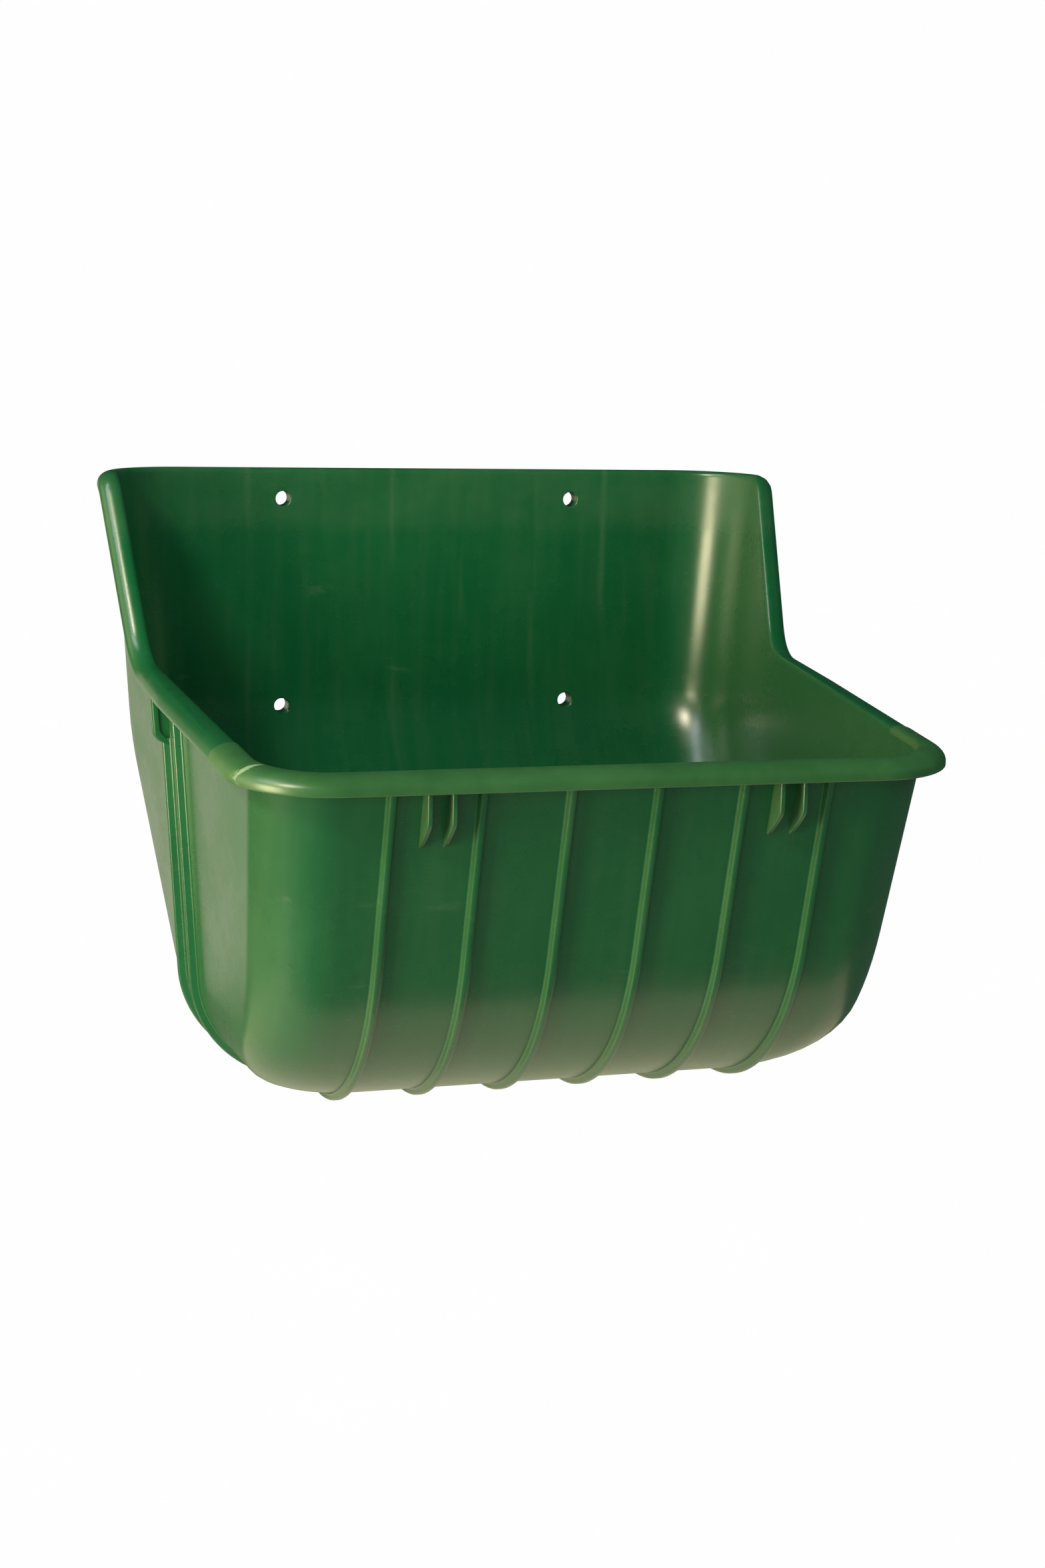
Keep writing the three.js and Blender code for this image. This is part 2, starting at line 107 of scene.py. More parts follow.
@dataclass(frozen=True)
class TubForm:
    """The tub's surfaces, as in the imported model. inset moves each one inwards by that distance."""

    wall: float = 3.5
    plate_rear: float = -9.5
    top_edge: float = 4.9
    half_width: float = 223.5
    side_taper: float = 0.052
    side_draft: float = 0.068
    rear_corner: float = 50
    front_corner: float = 42
    front_y: float = -415
    front_z: float = -133
    front_draft: float = 0.27
    front_radius: float = 147
    floor_z: float = -345.5
    side_radius: float = 59
    bend_z: float = -163
    slope_run: float = 0.774
    slope_radius: float = 80
    wing_top_y: float = -62
    bend_edge: tuple[float, float] = (-127, -106.5)
    front_edge_z: float = -128
    wing_turn: float = 9
    bend_turn: float = 22
    bend_round: float = 14
    corner_share: float = 0.42
    rear_rib_y: float = -180.5
    front_rib_y: float = -213

    @property
    def lean(self) -> float:
        """Angle of the front wall from upright."""
        return math.atan(self.front_draft)

    @property
    def slope_angle(self) -> float:
        """Angle of the rear slope from upright."""
        return math.atan(self.slope_run)

    @property
    def front_centre(self) -> tuple[float, float]:
        """Centre (y, z) of the sweep from the front wall into the floor."""
        z = self.floor_z + self.front_radius
        reach = self.front_radius - (z - self.front_z) * math.sin(self.lean)
        return self.front_y + reach / math.cos(self.lean), z

    @property
    def slope_centre(self) -> tuple[float, float]:
        """Centre (y, z) of the sweep from the rear slope into the floor."""
        z = self.floor_z + self.slope_radius
        return self.slope_face(z, self.slope_radius), z

    def slope_face(self, z: float, inset: float) -> float:
        """Depth y of the rear slope's plane at a height."""
        return self.plate_rear - self.slope_run * (self.bend_z - z) - inset / math.cos(self.slope_angle)

    def front_face(self, z: float, inset: float) -> float:
        """Depth y of the front wall at a height."""
        y, centre_z = self.front_centre
        radius = self.front_radius - inset
        if z > centre_z - radius * math.sin(self.lean):
            return self.front_y + self.front_draft * (self.front_z - z) + inset / math.cos(self.lean)
        return y - math.sqrt(max(radius ** 2 - (z - centre_z) ** 2, 0))

    def rear_face(self, z: float, inset: float) -> float:
        """Depth y of the back panel or the rear slope at a height, with the bend between them rounded."""
        y, centre_z = self.slope_centre
        radius = self.slope_radius - inset
        if z > centre_z - radius * math.sin(self.slope_angle):
            plate, slope = self.plate_rear - inset, self.slope_face(z, inset)
            blend = max(self.bend_round - abs(plate - slope), 0) / self.bend_round
            return min(plate, slope) - blend ** 2 * self.bend_round / 4
        return y + math.sqrt(max(radius ** 2 - (z - centre_z) ** 2, 0))

    def side_face(self, y: float, z: float, inset: float) -> float:
        """Half width of the tub at a depth and height."""
        radius = self.side_radius - inset
        drop = max(self.floor_z + self.side_radius - z, 0)
        rounding = radius - math.sqrt(max(radius ** 2 - drop ** 2, 0))
        return self.half_width + self.side_taper * y + self.side_draft * z - inset - rounding

    def ring_point(self, run: Run, t: float, z: float, inset: float) -> tuple[float, float, float, float]:
        """A point of a level ring's right half.

        Args:
            run: The stretch that the point lies on.
            t: Share of the way along the stretch.
            z: Height of the ring.
            inset: Distance inwards from the outer face.

        Returns:
            The point's x and y, and the x and y of the outward direction there.
        """
        front, rear = self.front_face(z, inset), self.rear_face(z, inset)
        limit = (rear - front) * self.corner_share
        rear_r, front_r = min(self.rear_corner - inset, limit), min(self.front_corner - inset, limit)
        slant = math.atan(self.side_taper)
        along, aside = math.cos(slant), math.sin(slant)
        rear_x = self.side_face(rear - rear_r, z, inset) - rear_r / along
        front_x = self.side_face(front + front_r, z, inset) - front_r / along
        if run is Run.BACK:
            return t * rear_x, rear, 0.0, 1.0
        if run is Run.FRONT:
            return (1 - t) * front_x, front, 0.0, -1.0
        if run is Run.FLANK:
            start = (rear_x + rear_r * along, rear - rear_r * (1 + aside))
            end = (front_x + front_r * along, front + front_r * (1 - aside))
            return start[0] + t * (end[0] - start[0]), start[1] + t * (end[1] - start[1]), along, -aside
        if run is Run.REAR_CORNER:
            angle = math.pi / 2 - t * (math.pi / 2 + slant)
            return (rear_x + rear_r * math.cos(angle), rear - rear_r + rear_r * math.sin(angle),
                    math.cos(angle), math.sin(angle))
        angle = -slant - t * (math.pi / 2 - slant)
        return (front_x + front_r * math.cos(angle), front + front_r + front_r * math.sin(angle),
                math.cos(angle), math.sin(angle))

    def edge_line(self) -> np.ndarray:
        """Points (y, z) along the walls' upper edge, seen from the side, from back to front."""
        wing = np.array([self.wing_top_y, self.top_edge])
        bend = np.array(self.bend_edge)
        front = np.array([self.front_y, self.front_edge_z])
        down = (bend - wing) / np.linalg.norm(bend - wing)
        ahead = (front - bend) / np.linalg.norm(front - bend)
        steps = 24
        top_turn = smooth_curve(wing + (self.wing_turn, 0), wing, wing + down * self.wing_turn, steps)
        low_turn = smooth_curve(bend - down * self.bend_turn, bend, bend + ahead * self.bend_turn, steps)
        return np.vstack([[[0, self.top_edge]], top_turn, low_turn, [front]])

    def edge_height(self, y: float) -> float:
        """Height of the walls' upper edge at a depth."""
        line = self.edge_line()[::-1]
        return float(np.interp(y, line[:, 0], line[:, 1]))


@dataclass(frozen=True)
class RimForm:
    """Section of the rolled rim. x runs outwards from the wall's outer face, y away from its edge."""

    reach: float = 13
    wing_reach: float = 10
    back_reach: float = 9.4
    crest: float = 4.1
    drop: float = 10.4
    skin: float = 2.8
    flat_leg: float = 2.4
    handle: float = 0.55
    root: float = 2.0
    crown: float = 0.5
    hollow: float = 0.4

    def outer_half(self, reach: float, extra: float, wall: float) -> np.ndarray:
        """The visible part of the section, from the inner wall over the crest to the lip.

        Args:
            reach: How far the rim stands out here.
            extra: Fullness added all over.
            wall: Thickness of the tub's wall.

        Returns:
            Points (x, y).
        """
        crest, out = self.crest + extra, reach + extra
        shoulder = self.crest - self.drop + self.flat_leg
        inside, top = -wall - extra, np.array([self.crown, crest])
        inner = smooth_curve(np.array([inside, 0.0]), np.array([inside, crest]), top, 9)
        t = np.linspace(0, 1, 13)[1:, None]
        fall = crest - shoulder
        first = np.array([self.handle * out, crest])
        second = np.array([out, crest - fall * (1 - self.handle)])
        over = ((1 - t) ** 3 * top + 3 * t * (1 - t) ** 2 * first
                + 3 * t ** 2 * (1 - t) * second + t ** 3 * np.array([out, shoulder]))
        return np.vstack([inner, over])

    def lip(self, reach: float, extra: float) -> np.ndarray:
        """The rounded lip under the outer leg, as points (x, y)."""
        low = self.crest - self.drop - extra
        middle, half = reach + extra - self.skin / 2, self.skin / 2
        angles = np.linspace(0, math.pi, 9)
        soft = half * 0.8
        return np.column_stack([middle + half * np.cos(angles), low + soft - soft * np.sin(angles)])

    def under(self, reach: float) -> np.ndarray:
        """The hidden underside, from the lip's inner side to the wall's outer face, as points (x, y)."""
        inner = reach - self.skin
        shoulder = self.crest - self.drop + self.flat_leg
        turn, leave, arrive, wall = (np.array([inner * share, self.hollow]) for share in (1, 0.35, 0.3, 0))
        curve = smooth_curve(np.array([inner, shoulder]), turn, leave, 6)
        return np.vstack([curve, smooth_curve(arrive, wall, np.array([0.0, -self.root]), 4)])


@dataclass(frozen=True)
class Station:
    """One place along the walls' edge: the run and share that name a column of the tub, and its side."""

    run: Run
    t: float
    side: Side


# ---- meshes ----


def signed_volume(points: np.ndarray, faces: Faces) -> float:
    """Volume enclosed by a closed mesh, negative where its faces point inwards."""
    total = 0.0
    for face in faces:
        a = points[face[0]]
        for i in range(1, len(face) - 1):
            total += float(np.dot(a, np.cross(points[face[i]], points[face[i + 1]])))
    return total / 6


def add_piece(name: str, points: np.ndarray, faces: Faces, material: Finish,
              sharp_deg: float = SMOOTH_DEG) -> Piece:
    """Makes a mesh object from a closed surface, with its faces turned outwards.

    Args:
        name: Name of the object.
        points: Vertices in millimetres.
        faces: Vertex numbers of each face.
        material: The finish.
        sharp_deg: Edges that turn by more than this are kept sharp.

    Returns:
        The new object, linked to the scene.
    """
    if signed_volume(points, faces) < 0:
        faces = [tuple(reversed(face)) for face in faces]
    mesh = bpy.data.meshes.new(name)
    mesh.from_pydata((points * MM).tolist(), [], faces)
    mesh.materials.append(material)
    piece = bpy.data.objects.new(name, mesh)
    shade(piece, sharp_deg)
    bpy.context.scene.collection.objects.link(piece)
    return piece


def loft_piece(name: str, rings: list[np.ndarray], material: Finish, sharp_deg: float = SMOOTH_DEG) -> Piece:
    """A closed solid through rings of equal length, capped at both ends."""
    count = len(rings[0])
    faces = []
    for row in range(len(rings) - 1):
        for i in range(count):
            a, b = row * count + i, row * count + (i + 1) % count
            faces.append((a, b, b + count, a + count))
    faces.append(tuple(range(count)))
    faces.append(tuple(reversed(range((len(rings) - 1) * count, len(rings) * count))))
    return add_piece(name, np.vstack(rings), faces, material, sharp_deg)


def shade(piece: Piece, sharp_deg: float = SMOOTH_DEG) -> None:
    """Shades a piece smooth, apart from its sharper edges."""
    piece.data.shade_smooth()
    piece.data.set_sharp_from_angle(angle=math.radians(sharp_deg))


def settle(piece: Piece) -> None:
    """Turns a piece's live modifiers into a plain mesh and removes them."""
    graph = bpy.context.evaluated_depsgraph_get()
    mesh = bpy.data.meshes.new_from_object(piece.evaluated_get(graph), depsgraph=graph)
    piece.modifiers.clear()
    piece.data = mesh


def soften(piece: Piece, width: float) -> None:
    """Rounds a piece's sharp edges by width millimetres."""
    bevel = piece.modifiers.new("softened edges", "BEVEL")
    bevel.width = width * MM
    bevel.segments = 3
    bevel.limit_method = "ANGLE"
    bevel.angle_limit = math.radians(BEVEL_DEG)
    bevel.harden_normals = False
    settle(piece)
    shade(piece)


def hand_over(piece: Piece, slot: str, *nodes: str) -> None:
    """Ties a finished piece to the frame.

    Args:
        piece: The finished piece.
        slot: Not used.
        nodes: The CAD nodes that it stands for.
    """
    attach(piece, BODY)
    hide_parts(*nodes)
    LOG.info("%s: %d faces, stands for %s", piece.name, len(piece.data.polygons), ", ".join(nodes))


# ---- node trees ----


class NodeSheet:
    """A node tree being filled in: each call adds one node and joins its inputs."""

    def __init__(self, tree: Tree) -> None:
        """Keeps the tree that nodes are added to."""
        self.tree = tree

    @classmethod
    def blank(cls, owner: bpy.types.ID) -> "NodeSheet":
        """The emptied node tree of a material or a world."""
        owner.use_nodes = True
        owner.node_tree.nodes.clear()
        return cls(owner.node_tree)

    def add(self, kind: str, inputs: dict | None = None, **settings: object) -> bpy.types.Node:
        """Adds a node.

        Args:
            kind: Blender's name for the node type.
            inputs: Input name or number, to a value or to the socket that feeds it.
            settings: The node's own settings.

        Returns:
            The new node.
        """
        node = self.tree.nodes.new(kind)
        for key, value in settings.items():
            setattr(node, key, value)
        for key, value in (inputs or {}).items():
            if isinstance(value, Socket):
                self.tree.links.new(value, node.inputs[key])
            else:
                node.inputs[key].default_value = value
        return node

    def math(self, operation: str, a: object, b: object = 0.0) -> Socket:
        """The result of a Math node."""
        return self.add("ShaderNodeMath", {0: a, 1: b}, operation=operation).outputs[0]

    def times(self, a: object, b: object) -> Socket:
        """A product."""
        return self.math("MULTIPLY", a, b)

    def plus(self, a: object, b: object) -> Socket:
        """A sum."""
        return self.math("ADD", a, b)

    def axis(self, vector: Socket, name: str) -> Socket:
        """One axis of a vector."""
        return self.add("ShaderNodeSeparateXYZ", {0: vector}).outputs[name]

    def ramp(self, value: Socket, low: object, high: object, to_low: float = 0.0,
             to_high: float = 1.0) -> Socket:
        """A value carried smoothly from one range to another."""
        ends = {"Value": value, "From Min": low, "From Max": high, "To Min": to_low, "To Max": to_high}
        return self.add("ShaderNodeMapRange", ends, interpolation_type="SMOOTHSTEP").outputs["Result"]

    def noise(self, vector: Socket, scale: object, detail: float = 3.0, roughness: float = 0.55) -> Socket:
        """The value of a Noise Texture."""
        values = {"Vector": vector, "Scale": scale, "Detail": detail, "Roughness": roughness}
        return self.add("ShaderNodeTexNoise", values).outputs["Fac"]

    def blend(self, share: Socket, first: object, second: object) -> Socket:
        """Two colours mixed by a share."""
        node = self.add("ShaderNodeMix", {"Factor": share}, data_type="RGBA")
        for number, colour in ((6, first), (7, second)):
            if isinstance(colour, Socket):
                self.tree.links.new(colour, node.inputs[number])
            else:
                node.inputs[number].default_value = (*colour, 1.0)
        return node.outputs[2]


class Effects:
    """Surface effects that the finishes share, each built once as a shader node group."""

    def __init__(self) -> None:
        """Builds the groups."""
        self.mottle = self._mottle()
        self.dust = self._dust()
        self.scuffs = self._scuffs()
        self.sinks = self._sinks()
        self.specks = self._specks()
        self.painted_left_sheen = self._painted_left_sheen()

    @staticmethod
    def _start(name: str, values: dict[str, float]) -> tuple[NodeSheet, bpy.types.NodeOutputs, Socket]:
        """Opens a group with a vector input, the named values and one output, Mask."""
        tree = bpy.data.node_groups.new(name, "ShaderNodeTree")
        tree.interface.new_socket("Vector", in_out="INPUT", socket_type="NodeSocketVector")
        for key, value in values.items():
            socket = tree.interface.new_socket(key, in_out="INPUT", socket_type="NodeSocketFloat")
            socket.default_value = value
        tree.interface.new_socket("Mask", in_out="OUTPUT", socket_type="NodeSocketFloat")
        sheet = NodeSheet(tree)
        entry = sheet.add("NodeGroupInput").outputs
        return sheet, entry, entry["Vector"]

    @staticmethod
    def _end(sheet: NodeSheet, mask: Socket, amount: Socket | None = None) -> Tree:
        """Joins the group's output, scaled by the amount where there is one, and returns the group."""
        sheet.add("NodeGroupOutput", {"Mask": mask if amount is None else sheet.times(mask, amount)})
        return sheet.tree

    def _mottle(self) -> Tree:
        """Cloudy variation of a moulding that has seen weather."""
        sheet, entry, vector = self._start("moulding_mottle", {"Scale": 14.0, "Amount": 0.5})
        broad = sheet.noise(vector, entry["Scale"], 4.0)
        fine = sheet.noise(vector, sheet.times(entry["Scale"], 9.0), 2.0)
        both = sheet.plus(sheet.times(broad, 0.75), sheet.times(fine, 0.25))
        return self._end(sheet, sheet.ramp(both, 0.38, 0.66), entry["Amount"])

    def _dust(self) -> Tree:
        """Dust that thins out from one height to another, broken up by noise."""
        sheet, entry, vector = self._start("settled_dust", {"From": -0.04, "To": 0.0, "Amount": 0.4})
        band = sheet.ramp(sheet.axis(vector, "Z"), entry["From"], entry["To"])
        cloud = sheet.ramp(sheet.noise(vector, 38.0, 5.0, 0.65), 0.3, 0.75, 0.35, 1.0)
        return self._end(sheet, sheet.times(band, cloud), entry["Amount"])

    def _scuffs(self) -> Tree:
        """Short rubbed marks along x."""
        sheet, entry, vector = self._start("rubbed_marks", {"Scale": 60.0, "Amount": 0.5})
        drawn = sheet.add("ShaderNodeMapping", {"Vector": vector, "Scale": (0.25, 1.6, 1.0)}).outputs[0]
        marks = sheet.ramp(sheet.noise(drawn, entry["Scale"], 5.0, 0.7), 0.6, 0.72)
        patches = sheet.ramp(sheet.noise(vector, 11.0, 2.0), 0.45, 0.62)
        return self._end(sheet, sheet.times(marks, patches), entry["Amount"])

    def _sinks(self) -> Tree:
        """Sunken lines where ribs stand on the wall's far side."""
        sheet, entry, vector = self._start("sink_lines", {"Pitch": 0.05, "Width": 0.0045, "Limit": 0.14})
        across = sheet.axis(vector, "X")
        share = sheet.math("FRACT", sheet.plus(sheet.math("DIVIDE", across, entry["Pitch"]), 10.0))
        away = sheet.times(sheet.math("ABSOLUTE", sheet.math("SUBTRACT", share, 0.5)), entry["Pitch"])
        line = sheet.ramp(away, 0.0, entry["Width"], 1.0, 0.0)
        inside = sheet.math("LESS_THAN", sheet.math("ABSOLUTE", across), entry["Limit"])
        return self._end(sheet, sheet.times(line, inside))

    def _painted_left_sheen(self) -> Tree:
        """Painted sheen: faces turned to the light on the left get a paler, warmer colour that stands in for
        that light. Its vector is the surface's normal.
        """
        sheet, entry, vector = self._start("painted_sheen_from_left", {"Amount": 0.5})
        turned = sheet.times(sheet.axis(vector, "X"), -1.0)
        return self._end(sheet, sheet.ramp(turned, 0.35, 1.0), entry["Amount"])

    def _specks(self) -> Tree:
        """Scattered pale specks."""
        sheet, entry, vector = self._start("pale_specks", {"Scale": 120.0, "Size": 0.12, "Amount": 0.5})
        cells = sheet.add("ShaderNodeTexVoronoi", {"Vector": vector, "Scale": entry["Scale"]}).outputs
        dot = sheet.ramp(cells["Distance"], 0.0, entry["Size"], 1.0, 0.0)
        some = sheet.math("GREATER_THAN", sheet.axis(cells["Color"], "X"), 0.86)
        return self._end(sheet, sheet.times(dot, some), entry["Amount"])


@dataclass(frozen=True)
class PlasticFinish:
    """A moulded plastic: its colours in linear light, its gloss, how worn it is and the painted sheen on
    faces turned to the light on the left.
    """

    name: str
    deep: Colour
    pale: Colour
    dusty: Colour
    roughness: float
    dull: float
    mottle: float
    dust: float
    scuffs: float
    specks: float
    sink_depth: float
    # How strongly faces turned to the light on the left take the painted sheen colour: painted light, not
    # wear.
    left_sheen_share: float
    streaks: float
    # Colour of the painted sheen on faces turned to the light on the left.
    left_sheen_colour: Colour = (0.15, 0.17, 0.06)
    dust_band: tuple[float, float] = (-0.038, -0.022)
    streak_scale: Point = (90.0, 1.0, 9.0)
    even_streaks: float = 0.35
    grain_height: float = 0.006
    wave_height: float = 0.12
    bump_depth: float = 0.0006
    gloss: float = 0.8

    def build(self, effects: Effects) -> Finish:
        """Makes the material.

        Args:
            effects: The shared node groups.

        Returns:
            A material that reads Object coordinates and, for the painted sheen, the surface normal.
        """
        material = bpy.data.materials.new(self.name)
        sheet = NodeSheet.blank(material)
        place = sheet.add("ShaderNodeTexCoord").outputs["Object"]

        def effect(group: Tree, vector: Socket = place, **values: float) -> Socket:
            """The mask of one of the shared groups."""
            inputs = {"Vector": vector, **{key.title(): value for key, value in values.items()}}
            return sheet.add("ShaderNodeGroup", inputs, node_tree=group).outputs["Mask"]

        mottle = effect(effects.mottle, scale=13.0, amount=self.mottle)
        low, high = self.dust_band
        dust = effect(effects.dust, **{"from": low, "to": high}, amount=self.dust)
        scuffs = effect(effects.scuffs, scale=70.0, amount=self.scuffs)
        specks = effect(effects.specks, scale=95.0, size=0.1, amount=self.specks)
        sinks = effect(effects.sinks)
        normal = sheet.add("ShaderNodeNewGeometry").outputs["Normal"]
        # Painted sheen: faces turned to the light on the left are blended towards a paler, warmer colour.
        painted_left_sheen = effect(effects.painted_left_sheen, normal, amount=self.left_sheen_share)
        colour = sheet.blend(mottle, self.deep, self.pale)
        colour = sheet.blend(painted_left_sheen, colour, self.left_sheen_colour)
        colour = sheet.blend(dust, colour, self.dusty)
        upright = sheet.add("ShaderNodeMapping", {"Vector": place, "Scale": self.streak_scale}).outputs[0]
        streaks = sheet.times(sheet.ramp(sheet.noise(upright, 1.0, 2.0), 0.4, 0.75), self.streaks)
        colour = sheet.blend(sheet.times(sheet.plus(sinks, self.even_streaks), streaks), colour, self.dusty)
        marks = sheet.math("MAXIMUM", scuffs, specks)
        colour = sheet.blend(marks, colour, self.dusty)
        worn = sheet.plus(sheet.times(mottle, 0.12), sheet.times(dust, 0.35))
        rough = sheet.plus(sheet.plus(worn, sheet.times(marks, self.dull)), self.roughness)
        grain = sheet.times(sheet.noise(place, 900.0, 2.0), self.grain_height)
        waves = sheet.times(sheet.noise(place, 26.0, 1.0), self.wave_height)
        height = sheet.math("SUBTRACT", sheet.plus(grain, waves), sheet.times(sinks, self.sink_depth))
        bump = sheet.add("ShaderNodeBump", {"Strength": 1.0, "Distance": self.bump_depth, "Height": height})
        shader = sheet.add("ShaderNodeBsdfPrincipled", {
            "Base Color": colour, "Roughness": rough, "Normal": bump.outputs[0], "IOR": 1.5,
            "Specular IOR Level": self.gloss})
        sheet.add("ShaderNodeOutputMaterial", {"Surface": shader.outputs[0]})
        return material


class Repeater:
    """A geometry node tree that repeats one moulded feature over a regular field."""

    INPUTS = (("Clusters", "NodeSocketInt"), ("Cluster Step", "NodeSocketVector"),
              ("Count", "NodeSocketInt"), ("Step", "NodeSocketVector"), ("First", "NodeSocketVector"),
              ("Finish", "NodeSocketMaterial"))

    def __init__(self) -> None:
        """Builds the tree."""
        tree = bpy.data.node_groups.new("repeat_feature", "GeometryNodeTree")
        tree.interface.new_socket("Geometry", in_out="INPUT", socket_type="NodeSocketGeometry")
        for name, kind in self.INPUTS:
            tree.interface.new_socket(name, in_out="INPUT", socket_type=kind)
        tree.interface.new_socket("Geometry", in_out="OUTPUT", socket_type="NodeSocketGeometry")
        sheet = NodeSheet(tree)
        entry = sheet.add("NodeGroupInput").outputs

        def output(kind: str, inputs: dict, **settings: str) -> Socket:
            """The first output of a new node."""
            return sheet.add(f"GeometryNode{kind}", inputs, **settings).outputs[0]

        rows = {"Count": entry["Clusters"], "Start Location": entry["First"], "Offset": entry["Cluster Step"]}
        clusters = output("MeshLine", rows, mode="OFFSET")
        members = output("MeshLine", {"Count": entry["Count"], "Offset": entry["Step"]}, mode="OFFSET")
        fields = output("InstanceOnPoints", {"Points": clusters, "Instance": members})
        points = output("RealizeInstances", {0: fields})
        copies = output("InstanceOnPoints", {"Points": points, "Instance": entry["Geometry"]})
        whole = output("RealizeInstances", {0: copies})
        coated = output("SetMaterial", {"Geometry": whole, "Material": entry["Finish"]})
        sheet.add("NodeGroupOutput", {0: coated})
        self.tree = tree

    def repeat(self, piece: Piece, first: Point, count: int, step: Point,
               clusters: int = 1, cluster_step: Point = (0, 0, 0)) -> None:
        """Replaces a piece's mesh by the repeated feature.

        Args:
            piece: The single feature, drawn about the origin.
            first: Place of the first copy, in millimetres.
            count: Copies in a row.
            step: From one copy to the next.
            clusters: Number of such rows.
            cluster_step: From one row to the next.
        """
        modifier = piece.modifiers.new("repeated feature", "NODES")
        modifier.node_group = self.tree
        values = {"Clusters": clusters, "Count": count, "Finish": piece.data.materials[0]}
        for name, move in (("Cluster Step", cluster_step), ("Step", step), ("First", first)):
            values[name] = [v * MM for v in move]
        for item in self.tree.interface.items_tree:
            if item.in_out == "INPUT" and item.name in values:
                modifier[item.identifier] = values[item.name]
        settle(piece)
        shade(piece)


# ---- the trough's sub-assemblies ----


@dataclass
class Tub:
    """The tub with its rolled rim, and the fuller front stretch of that rim."""

    form: TubForm
    rim: RimForm
    seam_y: float = -345
    guard_extra: float = 0.5
    guard_skin: float = 0.9
    column_step: float = 4.0
    corner_columns: int = 20
    straight_columns: int = 46
    upper_rows: int = 14
    middle_rows: int = 7
    sweep_rows: int = 22
    sweep_stop: float = 6
    middle_stop: float = 16
    edge_margin: float = 8
    edge_samples: int = 300
    sharp_deg: float = 42
    bore_soft: float = 0.8
    bore_sides: int = 48
    screw_x: float = 101
    screw_upper_z: float = -11.5
    screw_spacing: float = 140
    screw_radius: float = 5

    def _edge_z(self, run: Run, t: float) -> float:
        """Height where a column of the wall meets the edge."""
        low, high = self.form.front_edge_z - self.edge_margin, self.form.top_edge
        for _ in range(EDGE_HALVINGS):
            middle = (low + high) / 2
            _, y, _, _ = self.form.ring_point(run, t, middle, 0)
            if middle < self.form.edge_height(y):
                low = middle
            else:
                high = middle
        return (low + high) / 2

    def _flank_shares(self) -> list[float]:
        """Shares along a flank that are even steps along the wall's edge."""
        shares = np.linspace(0, 1, self.edge_samples)
        places = []
        for t in shares:
            z = self._edge_z(Run.FLANK, float(t))
            places.append((self.form.ring_point(Run.FLANK, float(t), z, 0)[1], z))
        walked = np.concatenate([[0], np.cumsum(np.linalg.norm(np.diff(np.array(places), axis=0), axis=1))])
        count = int(walked[-1] / self.column_step)
        return list(np.interp(np.linspace(0, walked[-1], count + 1)[:-1], walked, shares))

    def stations(self) -> list[Station]:
        """All columns in order, from mid back round the right side, the front and the left side."""
        corner = [i / self.corner_columns for i in range(self.corner_columns)]
        straight = [i / self.straight_columns for i in range(self.straight_columns)]
        half = [(Run.BACK, t) for t in straight] + [(Run.REAR_CORNER, t) for t in corner]
        half += [(Run.FLANK, t) for t in self._flank_shares()]
        half += [(Run.FRONT_CORNER, t) for t in corner] + [(Run.FRONT, t) for t in straight]
        right = [Station(run, t, Side.RIGHT) for run, t in half]
        left = [Station(run, t, Side.LEFT) for run, t in half[1:]]
        return right + [Station(Run.FRONT, 1.0, Side.RIGHT)] + left[::-1]

    def _reach(self, station: Station, y: float, outward_y: float) -> float:
        """How far the rim stands out at a station."""
        if station.run in (Run.FRONT, Run.FRONT_CORNER):
            return self.rim.reach
        start, end = self.form.bend_edge[0], self.form.front_rib_y
        forward = min(max((start - y) / (start - end), 0), 1)
        free = self.rim.wing_reach + (self.rim.reach - self.rim.wing_reach) * forward
        return free + (self.rim.back_reach - free) * max(outward_y, 0)

    def _frames(self, stations: list[Station]) -> list[tuple[np.ndarray, np.ndarray, np.ndarray, float]]:
        """Edge point, outward direction, direction away from the edge, and reach, for every station."""
        points, outwards, reaches = [], [], []
        for station in stations:
            z = self._edge_z(station.run, station.t)
            x, y, nx, ny = self.form.ring_point(station.run, station.t, z, 0)
            sign = station.side.value
            points.append(np.array([sign * x, y, z]))
            outwards.append(np.array([sign * nx, ny, 0.0]))
            reaches.append(self._reach(station, y, ny))
        frames = []
        for i, point in enumerate(points):
            along = points[(i + 1) % len(points)] - points[i - 1]
            away = np.cross(outwards[i], along)
            away /= np.linalg.norm(away)
            if away[2] - 0.5 * away[1] < 0:
                away = -away
            frames.append((point, outwards[i], away, reaches[i]))
        return frames

    def _heights(self, inset: float, top: float) -> np.ndarray:
        """Heights of a column's points, from the floor up to its top."""
        base = self.form.floor_z + inset
        bands = np.linspace(0, math.pi / 2, self.sweep_rows)
        sweep = base + (1 - np.cos(bands)) * (self.form.front_radius - inset - self.sweep_stop)
        middle = np.linspace(sweep[-1], self.form.front_edge_z - self.middle_stop, self.middle_rows)[1:]
        upper = np.linspace(middle[-1], top, self.upper_rows)[1:]
        return np.concatenate([sweep, middle, upper])

    def _column(self, station: Station, frame_here: tuple) -> np.ndarray:
        """One column of the closed surface: up the inside, over the rim, and down the outside."""
        point, outward, away, reach = frame_here
        wall = self.form.wall

        def wall_points(heights: np.ndarray, inset: float) -> list[Point]:
            """The wall's points at the given heights."""
            rings = (self.form.ring_point(station.run, station.t, z, inset) for z in heights)
            return [(station.side.value * ring[0], ring[1], z) for ring, z in zip(rings, heights)]

        inner = wall_points(self._heights(wall, point[2])[:-1], wall)
        section = np.vstack([self.rim.outer_half(reach, 0, wall), self.rim.lip(reach, 0),
                             self.rim.under(reach)])
        rolled = point + section[:, :1] * outward + section[:, 1:] * away
        outer = wall_points(self._heights(0, point[2] - 2 * self.rim.root)[::-1], 0)
        return np.vstack([inner, rolled, outer])

